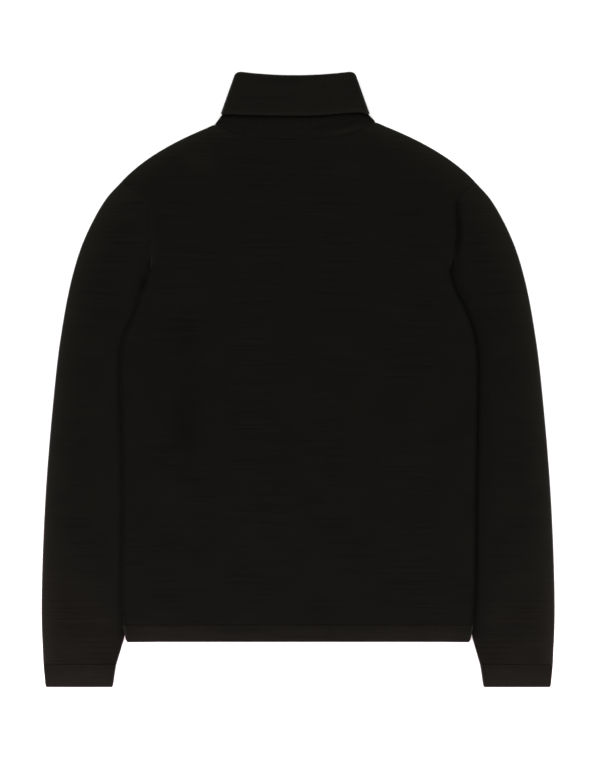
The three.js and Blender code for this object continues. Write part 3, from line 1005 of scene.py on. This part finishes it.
def band_rows(cloth, knit, rings, side, lift, relief, tapering, tone):
    """The places of a rib band between two folds.

    lift is how high its underside stands and relief how far its top rises at its seam. tapering
    is how much of that is gone at its free edge, and tone the painted light at its seam.
    """
    thickness = cloth.band_rib / MM
    depth = knit.band_rib_depth / MM
    radius = (thickness + cloth.band_air / MM) / 2
    top, bottom = rings[0][0], rings[-1][0]
    tall = top - bottom
    width = rings[0][2] - rings[0][1]
    ribs = round(width / (knit.band_rib_pitch / MM))
    across = ribs * STATIONS_A_RIB["band"]
    stations = tube_stations(across, across)
    made = []
    for share in rim_shares(tall, BAND_ROWS, free=True):
        y = mix(top + SEAM_OVERLAP, bottom, share)
        inner, outer = table_at(rings, min(top, y))
        wide = outer - inner
        points = []
        for station in stations:
            rough, level, _ = station
            rib = depth * math.cos(2 * math.pi * ribs * rough)
            w = across_tube(station, radius, thickness, wide, wide)
            x = side * mix(inner, outer, w)
            upward = (1 + level) / 2
            rise = relief(x) * (1 - tapering * share) * upward
            height = lift(x, y) + thickness / 2 + radius * (1 + level) + rise
            height += depth + rib * level
            points.append(Vector((x, y, height)))
        full = band_fullness(share * tall, tall, BAND_SEAM_LEAST)
        # Painted light, more towards the free edge and over the seam.
        tones = [tone + BAND_PAINTED_LIGHT * share + painted_seam_light(share * tall)] * len(points)
        made.append((points, tones, (1 - share) * tall, full))
    return lay_tube(made)


# The neck seam is linked loop by loop: the width of two loops, how far up the collar they reach,
# and how far they stand out, which is also the painted light on them and the painted shade
# between them.
SEAM_LOOP = 3.4
SEAM_LOOP_REACH = 1.8
SEAM_LOOP_RISE = 0.22

# The air between the collar's two layers at the neck seam, in the stand and round the fold.
COLLAR_AIR = {"seam": 0.9, "stand": 0.6, "fold": 0.35}

# The foot of the stand: how far it draws in from the seam, how far up it comes behind the neck
# in its middle and at its ends, and how much of the body's swell it has left behind.
FOOT_INSET = 2.2
FOOT_RISE = (8, 3)
FOOT_RAISED = 0.25

# Where the fold's rounded corners start, as a share of its half-width, and how far they drop.
CORNER_START = 0.9
CORNER_DROP = 5.5

# How far the free edge rides up to the right, and the shares between which it comes back down.
EDGE_LIFT = 2.6
EDGE_TURNS_DOWN = (0.86, 0.99)

# How finely the collar is drawn. Shares up its foot; stretches from there to under the flap, up
# the stand, over the fold and down the flap; and shares left of the flap at its free edge.
FOOT_ROWS = (0, 0.04, 0.1, 0.2, 0.4, 0.6, 0.8)
COLLAR_ROWS = {"hidden": 12, "stand": 18, "fold": 8, "flap": 22}
FREE_ROWS = (0.084, 0.06, 0.038, 0.022, 0.012, 0.006, 0.003, 0.0012, 0)

# How much higher the collar stands in its middle than at its corners.
COLLAR_CROWN = 1.6

# How far up from the free edge the flap flares off the stand, how high it lifts, and how much
# higher it lifts between two places to the right.
FLARE_REACH = 7
FLARE = 1.5
RIGHT_FLARE = 1.2
RIGHT_FLARE_SPAN = (40, 92)

# Painted light on the flap in its middle, more at its ends, and a painted highlight in a line
# along its free edge. Painted shadow on the stand in the hollow under that edge. These two are
# an amount, a distance from the edge and a width.
FLAP_PAINTED_LIGHT = 0.24
FLAP_END_PAINTED_LIGHT = 0.2
EDGE_PAINTED_HIGHLIGHT = (0.4, 2.2, 1.6)
HOLLOW_PAINTED_SHADOW = (-0.95, 0, 3.4)


class Ring:
    """One level of the collar: a half-width, a spacing of its two layers, a height and its y."""

    def __init__(self, half, radius, middle, back, front, raised):
        self.half = half
        self.radius = radius
        self.middle = middle
        self.back = back
        self.front = front
        self.raised = raised

    def towards(self, other, share):
        """A ring part of the way to another."""
        return Ring(
            mix(self.half, other.half, share),
            mix(self.radius, other.radius, share),
            mix(self.middle, other.middle, share),
            lambda q: mix(self.back(q), other.back(q), share),
            lambda q: mix(self.front(q), other.front(q), share),
            mix(self.raised, other.raised, share),
        )


def corner_drop(q):
    """How far the collar's fold is rounded down at its corners."""
    share = max(0.0, (abs(q) - CORNER_START) / (1 - CORNER_START))
    return CORNER_DROP * (1 - math.sqrt(max(0.0, 1 - share * share)))


def collar_edge_y(q):
    """The free edge across the back: it lifts off to the right and turns down at that corner."""
    lifted = smoothstep(q, 0.2, 0.8) * (1 - smoothstep(q, *EDGE_TURNS_DOWN))
    return mix(COLLAR_EDGE["back"], COLLAR_EDGE["side"], q * q) + EDGE_LIFT * lifted


def collar_rings(cloth):
    """The collar's rings, from the neck seam up to the fold, and from there to the free edge."""
    rib = cloth.collar_rib / MM
    seam_radius = (rib + COLLAR_AIR["seam"]) / 2
    stand_radius = (rib + COLLAR_AIR["stand"]) / 2
    turn_radius = (rib + COLLAR_AIR["fold"]) / 2
    flap_radius = stand_radius + 2 * turn_radius
    low = rib / 2 + seam_radius
    middle = rib / 2 + flap_radius

    def fold_level(inset):
        """The fold bows down in the middle, and its corners are rounded."""

        def level_from(start):
            return lambda q: mix(start, COLLAR_FOLD["side"], q * q) - inset - corner_drop(q)

        return level_from(COLLAR_FOLD["back"]), level_from(COLLAR_FOLD["front"])

    def front_edge(q):
        return mix(COLLAR_EDGE["front"], COLLAR_EDGE["side"], q * q)

    turn_inset = rib / 2 + turn_radius
    flap_top = COLLAR_FOLD["half"] - rib / 2
    flap_edge = COLLAR_EDGE["half"] - rib / 2
    seam_half = NECK_HALF - rib / 2
    base = Ring(
        seam_half,
        seam_radius,
        low,
        lambda q: back_neck(COLLAR_SHIFT + q * NECK_HALF) - SEAM_OVERLAP,
        lambda q: front_neck(COLLAR_SHIFT + q * NECK_HALF) - SEAM_OVERLAP,
        0.0,
    )
    foot = Ring(
        seam_half - FOOT_INSET,
        seam_radius,
        low,
        lambda q: back_neck(COLLAR_SHIFT + q * NECK_HALF) + mix(*FOOT_RISE, q * q),
        lambda q: back_neck(COLLAR_SHIFT + q * NECK_HALF) + FOOT_RISE[1],
        FOOT_RAISED,
    )
    edge_half = flap_edge - 2 * turn_radius
    stand_low = Ring(edge_half, stand_radius, middle, collar_edge_y, front_edge, 1.0)
    stand_top = Ring(flap_top - 2 * turn_radius, stand_radius, middle, *fold_level(turn_inset), 1.0)
    flap_start = Ring(flap_top, flap_radius, middle, *fold_level(turn_inset), 1.0)
    free_edge = Ring(flap_edge, flap_radius, middle, collar_edge_y, front_edge, 1.0)

    rings = [base.towards(foot, share) for share in FOOT_ROWS]
    rings += [foot.towards(stand_low, share) for share in spread(COLLAR_ROWS["hidden"])[:-1]]
    rings += [stand_low.towards(stand_top, share) for share in spread(COLLAR_ROWS["stand"])[:-1]]
    for turned in spread(COLLAR_ROWS["fold"]):
        angle = math.pi * turned
        out = turn_radius * (1 - math.cos(angle))
        half = flap_top - 2 * turn_radius + out
        level = fold_level(turn_inset - turn_radius * math.sin(angle))
        rings.append(Ring(half, stand_radius + out, middle, *level, 1.0))
    folded_at = len(rings) - COLLAR_ROWS["fold"] // 2
    down = spread(COLLAR_ROWS["flap"])[1:-2] + [1 - left for left in FREE_ROWS]
    rings += [flap_start.towards(free_edge, share) for share in down]
    return rings[:folded_at], rings[folded_at:]


def collar_rows(cloth, knit):
    """The places of the collar."""
    rib = cloth.collar_rib / MM
    depth = knit.collar_rib_depth / MM
    under, over = collar_rings(cloth)
    across = knit.collar_ribs * STATIONS_A_RIB["collar"]
    stations = tube_stations(across, across)
    made = []
    along = 0.0
    previous = None
    for ring, turned in [(ring, False) for ring in under] + [(ring, True) for ring in over]:
        points = []
        tones = []
        for station in stations:
            rough, level, _ = station
            width = 2 * (ring.half + rib / 2)
            w = across_tube(station, ring.radius, rib, width, width)
            x = mix(-width / 2, width / 2, w)
            q = min(1.0, max(-1.0, x / ring.half))
            y = mix(ring.front(q), ring.back(q), (1 + level) / 2)
            wave = depth * math.cos(2 * math.pi * knit.collar_ribs * rough)
            upward = max(0.0, level)
            height = ring.middle + ring.radius * level + depth + wave * level
            seam_rise = upper_relief(x + COLLAR_SHIFT, y, cloth, False) * (1 - ring.raised)
            crown = COLLAR_CROWN * (1 - q**4) * ring.raised
            height += (seam_rise + crown) * upward
            height += collar_creases.at(x + COLLAR_SHIFT, y) * upward * (0 if turned else 1)
            # Painted light on the flap; painted shadow in the hollow under its edge, and painted light
            # and shade on the seam's loops.
            if turned:
                tones.append(FLAP_PAINTED_LIGHT + FLAP_END_PAINTED_LIGHT * q**6)
            else:
                hollow = swelling(max(0.0, collar_edge_y(q) - y), *HOLLOW_PAINTED_SHADOW)
                from_seam = y - back_neck(x + COLLAR_SHIFT)
                loop = swelling(from_seam, SEAM_LOOP_RISE, 0, SEAM_LOOP_REACH)
                loop *= math.cos(2 * math.pi * x / SEAM_LOOP)
                height += loop * upward
                tones.append(painted_light_and_shade.at(x + COLLAR_SHIFT, y) + (hollow + loop) * upward)
            points.append(Vector((x + COLLAR_SHIFT, y, height)))
        back = points[len(points) // 4]
        if previous is not None:
            along += (back - previous).length
        previous = back
        made.append([points, tones, along, 1.0])
    whole = made[-1][2]
    for ring in made:
        ring[3] = band_fullness(ring[2], whole, SEAM_LEAST)
    # The free edge flares off the stand, most at its right-hand corner.
    for points, tones, along, _ in made:
        from_edge = whole - along
        flare = swelling(from_edge, 1, 0, FLARE_REACH)
        if flare < 0.01 or along < whole / 2:
            continue
        for index, point in enumerate(points):
            # A painted highlight along the free edge.
            tones[index] += swelling(from_edge, *EDGE_PAINTED_HIGHLIGHT)
            if point.z > over[-1].middle:
                point.z += flare * (FLARE + RIGHT_FLARE * smoothstep(point.x, *RIGHT_FLARE_SPAN))
    return lay_tube(made)


# ------------------------------------------------------------------------------------- materials


def add_node(tree, kind, inputs=None, **settings):
    """Adds a node with its settings. inputs holds sockets to link from and values to set."""
    node = tree.nodes.new(kind)
    for name, value in settings.items():
        setattr(node, name, value)
    for name, value in (inputs or {}).items():
        if isinstance(value, bpy.types.NodeSocket):
            tree.links.new(value, node.inputs[name])
        else:
            node.inputs[name].default_value = value
    return node


def maths(tree, operation, *values):
    """The result of a sum on one, two or three values."""
    return add_node(tree, "ShaderNodeMath", dict(enumerate(values)), operation=operation).outputs[0]


def texture(tree, place, scale, **inputs):
    """Soft noise over a place."""
    inputs = {name.capitalize(): value for name, value in inputs.items()}
    return add_node(tree, "ShaderNodeTexNoise", {"Vector": place, "Scale": scale, **inputs}).outputs[0]


def stitch_height(tree, cloth, knit):
    """The height of plain knit stitches: columns of V shapes, read from the cloth's own metres."""
    lay = add_node(tree, "ShaderNodeSeparateXYZ", {0: cloth})
    columns = maths(tree, "MULTIPLY", lay.outputs["X"], 1 / knit.wale)
    across = maths(tree, "PINGPONG", columns, 0.5)
    climb = maths(tree, "MULTIPLY_ADD", lay.outputs["Y"], 1 / knit.course, across)
    row = maths(tree, "PINGPONG", climb, 0.5)
    legs = maths(tree, "SINE", maths(tree, "MULTIPLY", across, 2 * math.pi))
    yarn = maths(tree, "MULTIPLY_ADD", row, 0.9, 0.55)
    return maths(tree, "MULTIPLY", legs, yarn)


def knit_material(name, colours, knit, lightness, sheen):
    """Black wool yarn, knitted and steamed: matt, with a faint bloom of fibre ends.

    The eye gets almost no gloss, a soft lift at grazing angles, and faint uneven streaks along
    the rows where the yarn's dye and tension vary, with painted shade between the stitches. The
    yarn's colour and its sheen are both scaled by the piece's painted light and shade.
    """
    material = bpy.data.materials.new(name)
    material.use_nodes = True
    tree = material.node_tree
    shader = tree.nodes["Principled BSDF"]
    cloth = add_node(tree, "ShaderNodeUVMap", uv_map="knit").outputs[0]

    # Streaks about 100 mm long and 2 mm tall, and patches about 60 mm wide.
    stretched = add_node(tree, "ShaderNodeMapping", {0: cloth, "Scale": (1 / 0.1, 1 / 0.0022, 1)})
    streaks = texture(tree, stretched.outputs[0], 1.0, detail=3.0, roughness=0.65)
    patches = texture(tree, cloth, 1 / 0.06, detail=3.0)
    stitches = stitch_height(tree, cloth, knit)
    uneven = maths(tree, "MULTIPLY_ADD", patches, 0.35, streaks)
    # The colour is deeper where the stitches are low: painted shade between them.
    depth = maths(tree, "MULTIPLY_ADD", stitches, 0.35, uneven)
    dyed = add_node(tree, "ShaderNodeValToRGB", {0: depth})
    stops = ((0.4, colours.yarn), (0.92, colours.raised))
    for stop, (position, yarn) in zip(dyed.color_ramp.elements, stops):
        stop.position = position
        stop.color = (*[channel * lightness for channel in yarn], 1)

    # The piece's painted light and shade scales the yarn's colour and its sheen.
    shade = add_node(tree, "ShaderNodeAttribute", attribute_name="shade").outputs["Fac"]
    lift = maths(tree, "MAXIMUM", maths(tree, "ADD", shade, 1.0), 0.05)
    toned = add_node(
        tree, "ShaderNodeVectorMath", {0: dyed.outputs[0], "Scale": lift}, operation="SCALE"
    )
    tree.links.new(toned.outputs[0], shader.inputs["Base Color"])
    tree.links.new(maths(tree, "MULTIPLY", lift, sheen), shader.inputs["Sheen Weight"])

    # Fibre fuzz, from a millimetre down to a quarter of one across, over the stitches.
    fuzz = texture(tree, cloth, 1 / 0.0009, detail=2.0)
    surface = maths(tree, "MULTIPLY_ADD", fuzz, 0.4, stitches)
    bump = add_node(
        tree, "ShaderNodeBump", {"Strength": 0.6, "Distance": 0.0002, "Height": surface}
    )
    tree.links.new(bump.outputs[0], shader.inputs["Normal"])
    shader.inputs["Roughness"].default_value = 0.55
    shader.inputs["Specular IOR Level"].default_value = 0.04
    shader.inputs["Sheen Roughness"].default_value = 0.45
    return material


def floor_material(colours):
    """Matt white paper sweep, with a fine grain that only just shows, and no gloss."""
    material = bpy.data.materials.new("White paper sweep")
    material.use_nodes = True
    tree = material.node_tree
    shader = tree.nodes["Principled BSDF"]
    place = add_node(tree, "ShaderNodeTexCoord").outputs["Object"]
    paper = add_node(tree, "ShaderNodeValToRGB", {0: texture(tree, place, 1 / 0.002)})
    paper.color_ramp.elements[0].color = (*[channel * 0.985 for channel in colours.floor], 1)
    paper.color_ramp.elements[1].color = (*colours.floor, 1)
    tree.links.new(paper.outputs[0], shader.inputs["Base Color"])
    shader.inputs["Roughness"].default_value = 0.95
    shader.inputs["Specular IOR Level"].default_value = 0.1
    return material


# Each knit's lightness and its bloom of fibre ends. The ribs are a little paler.
KNITS = {"Wool jersey": (1.0, 0.08), "Wool rib": (1.05, 0.09)}


def knit_finish(scene, name):
    """The material of a knit, made once."""
    found = bpy.data.materials.get(name)
    return found or knit_material(name, scene.sweater_colours, scene.sweater_knit, *KNITS[name])


# ------------------------------------------------------------------------------------- operators


class KnitPiece:
    """What the pieces' operators share."""

    bl_options = {"REGISTER", "UNDO"}


class SWEATER_OT_back(KnitPiece, bpy.types.Operator):
    """Knit the back, which lies on top"""

    bl_idname = "sweater.back"
    bl_label = "Back"

    def execute(self, context):
        cloth = context.scene.sweater_cloth
        rows = panel_rows(cloth, 1, back_neck, GRIDS["back"])
        piece = knit_sheet("back_jersey", rows, cloth.jersey, around=False)
        settle(piece, knit_finish(context.scene, "Wool jersey"), "back_panel")
        return {"FINISHED"}


class SWEATER_OT_front(KnitPiece, bpy.types.Operator):
    """Knit the front, which lies under the back"""

    bl_idname = "sweater.front"
    bl_label = "Front"

    def execute(self, context):
        cloth = context.scene.sweater_cloth
        rows = panel_rows(cloth, -1, front_neck, GRIDS["front"])
        piece = knit_sheet("front_jersey", rows, cloth.jersey, around=False)
        settle(piece, knit_finish(context.scene, "Wool jersey"), "front_panel")
        return {"FINISHED"}


class SWEATER_OT_sleeves(KnitPiece, bpy.types.Operator):
    """Knit the two sleeves, whose inner edges are tucked under the body"""

    bl_idname = "sweater.sleeves"
    bl_label = "Sleeves"

    def execute(self, context):
        cloth = context.scene.sweater_cloth
        for name, side in (("left", -1), ("right", 1)):
            rows = sleeve_rows(cloth, side, GRIDS["sleeve"])
            piece = knit_sheet(f"sleeve_{name}_jersey", rows, cloth.jersey, around=True)
            settle(piece, knit_finish(context.scene, "Wool jersey"), f"sleeve_{name}")
        return {"FINISHED"}


class SWEATER_OT_cuffs(KnitPiece, bpy.types.Operator):
    """Knit the two rib cuffs"""

    bl_idname = "sweater.cuffs"
    bl_label = "Cuffs"

    def execute(self, context):
        cloth = context.scene.sweater_cloth
        knit = context.scene.sweater_knit
        for name, side in (("left", -1), ("right", 1)):
            rows = band_rows(
                cloth,
                knit,
                CUFF_RINGS,
                side,
                lambda x, y: 0.0,
                lambda x: upper_relief(x, CUFF_LINE, cloth, True),
                tapering=0.9,
                tone=0.16,
            )
            piece = knit_sheet(f"cuff_{name}_rib", rows, cloth.band_rib, around=True)
            settle(piece, knit_finish(context.scene, "Wool rib"), f"cuff_{name}")
        return {"FINISHED"}


class SWEATER_OT_hem(KnitPiece, bpy.types.Operator):
    """Knit the rib band round the hem"""

    bl_idname = "sweater.hem"
    bl_label = "Hem band"

    def execute(self, context):
        cloth = context.scene.sweater_cloth
        rows = band_rows(
            cloth,
            context.scene.sweater_knit,
            HEM_RINGS,
            1,
            body_lift,
            lambda x: upper_relief(x, HEM_LINE, cloth, False),
            tapering=1.0,
            tone=0.1,
        )
        piece = knit_sheet("hem_band_rib", rows, cloth.band_rib, around=True)
        settle(piece, knit_finish(context.scene, "Wool rib"), "hem_band")
        return {"FINISHED"}


class SWEATER_OT_collar(KnitPiece, bpy.types.Operator):
    """Knit the rib collar and turn it down over itself"""

    bl_idname = "sweater.collar"
    bl_label = "Collar"

    def execute(self, context):
        cloth = context.scene.sweater_cloth
        rows = collar_rows(cloth, context.scene.sweater_knit)
        piece = knit_sheet("collar_rib", rows, cloth.collar_rib, around=True)
        settle(piece, knit_finish(context.scene, "Wool rib"), "collar")
        return {"FINISHED"}


# Far soft lights: how far round from the right, how high and how wide each is, in degrees.
SUNS = {"overhead": (100, 80, 60), "left": (140, 18, 24), "right": (5, 18, 24), "head": (90, 35, 24)}

# The near panel past the right cuff, what it faces and its size, in metres. The left one is its
# mirror.
FOOT_PANEL = ((0.42, -0.72, 0.2), (0.3, -0.35, 0))
FOOT_PANEL_SIZE = (0.35, 0.15)

# How far the floor reaches from the middle, in metres.
FLOOR_REACH = 40


class SWEATER_OT_stage(bpy.types.Operator):
    """Set the floor, the soft lights and the camera straight above the sweater"""

    bl_idname = "sweater.stage"
    bl_label = "Stage"
    bl_options = {"REGISTER", "UNDO"}

    def execute(self, context):
        scene = context.scene
        stage = scene.sweater_stage
        sheet = bmesh.new()
        bmesh.ops.create_grid(sheet, x_segments=1, y_segments=1, size=FLOOR_REACH)
        mesh = bpy.data.meshes.new("floor")
        sheet.to_mesh(mesh)
        sheet.free()
        mesh.materials.append(floor_material(scene.sweater_colours))
        floor = bpy.data.objects.new("floor", mesh)
        scene.collection.objects.link(floor)

        scene.world = white_surround(stage.surround)
        for name, (turn, rise, width) in SUNS.items():
            add_sun(scene, name.capitalize(), turn, rise, width, getattr(stage, name))
        for name, side in (("left", -1), ("right", 1)):
            place, target = (Vector((side * x, y, z)) for x, y, z in FOOT_PANEL)
            add_panel(scene, f"Foot {name}", place, target, getattr(stage, f"foot_{name}"))

        camera = bpy.data.cameras.new("Camera")
        camera.lens = stage.lens
        camera.sensor_width = 36
        camera.clip_end = 100
        height = stage.field * stage.lens / camera.sensor_width
        holder = bpy.data.objects.new("Camera", camera)
        holder.location = (stage.centre_x, stage.centre_y, height)
        scene.collection.objects.link(holder)
        scene.camera = holder
        scene.view_settings.view_transform = "Standard"
        scene.view_settings.gamma = stage.contrast
        return {"FINISHED"}


def white_surround(strength):
    """An even white surround: white to the camera, and lighting the scene at its own strength."""
    world = bpy.data.worlds.new("White surround")
    world.use_nodes = True
    tree = world.node_tree
    seen = add_node(tree, "ShaderNodeLightPath")
    level = add_node(
        tree,
        "ShaderNodeMix",
        {"Factor": seen.outputs["Is Camera Ray"], "A": strength, "B": 1.0},
        data_type="FLOAT",
    )
    tree.links.new(level.outputs[0], tree.nodes["Background"].inputs["Strength"])
    tree.nodes["Background"].inputs["Color"].default_value = (1, 1, 1, 1)
    return world


def add_light(scene, name, kind, aim, place, strength):
    """A light that shines along a direction from a place."""
    light = bpy.data.lights.new(name, kind)
    light.energy = strength
    holder = bpy.data.objects.new(name, light)
    holder.location = place
    holder.rotation_euler = aim.to_track_quat("-Z", "Y").to_euler()
    holder.visible_camera = False
    scene.collection.objects.link(holder)
    return light


def add_sun(scene, name, round_from_right, height, width, strength):
    """A far soft light. Its place is two angles and its width a third, all in degrees."""
    turn, rise = math.radians(round_from_right), math.radians(height)
    place = Vector((math.cos(turn) * math.cos(rise), math.sin(turn) * math.cos(rise), math.sin(rise)))
    light = add_light(scene, name, "SUN", -place, place * 3, strength)
    light.angle = math.radians(width)


def add_panel(scene, name, place, target, strength):
    """A near soft panel, faintly warm, that faces a target."""
    light = add_light(scene, name, "AREA", target - place, place, strength)
    light.shape = "RECTANGLE"
    light.size, light.size_y = FOOT_PANEL_SIZE
    light.color = scene.sweater_colours.foot_light


class SWEATER_PT_panel(bpy.types.Panel):
    """The sweater's pieces and sizes"""

    bl_label = "Roll-neck sweater"
    bl_idname = "SWEATER_PT_panel"
    bl_space_type = "VIEW_3D"
    bl_region_type = "UI"
    bl_category = "Sweater"

    def draw(self, context):
        """Lists the settings, then a button for each piece and the stage."""
        scene = context.scene
        for group in GROUPS:
            box = self.layout.box()
            settings = getattr(scene, group)
            for name in settings.bl_rna.properties.keys():
                if name not in ("rna_type", "name"):
                    box.prop(settings, name)
        for operator in STEPS:
            self.layout.operator(operator.bl_idname)


STEPS = (
    SWEATER_OT_stage,
    SWEATER_OT_front,
    SWEATER_OT_sleeves,
    SWEATER_OT_back,
    SWEATER_OT_cuffs,
    SWEATER_OT_hem,
    SWEATER_OT_collar,
)
GROUPS = {
    "sweater_cloth": SweaterCloth,
    "sweater_knit": SweaterKnit,
    "sweater_colours": SweaterColours,
    "sweater_stage": SweaterStage,
}


def register():
    """Adds the settings, the operators and the panel."""
    for name, group in GROUPS.items():
        bpy.utils.register_class(group)
        setattr(bpy.types.Scene, name, PointerProperty(type=group))
    for shown in (*STEPS, SWEATER_PT_panel):
        bpy.utils.register_class(shown)


def unregister():
    """Takes them away again."""
    for shown in reversed((*STEPS, SWEATER_PT_panel)):
        bpy.utils.unregister_class(shown)
    for name, group in GROUPS.items():
        delattr(bpy.types.Scene, name)
        bpy.utils.unregister_class(group)


def main():
    """Registers the add-on, and makes the stage and the pieces in order."""
    register()
    for step in STEPS:
        category, name = step.bl_idname.split(".")
        getattr(getattr(bpy.ops, category), name)()


if __name__ == "__main__":
    main()
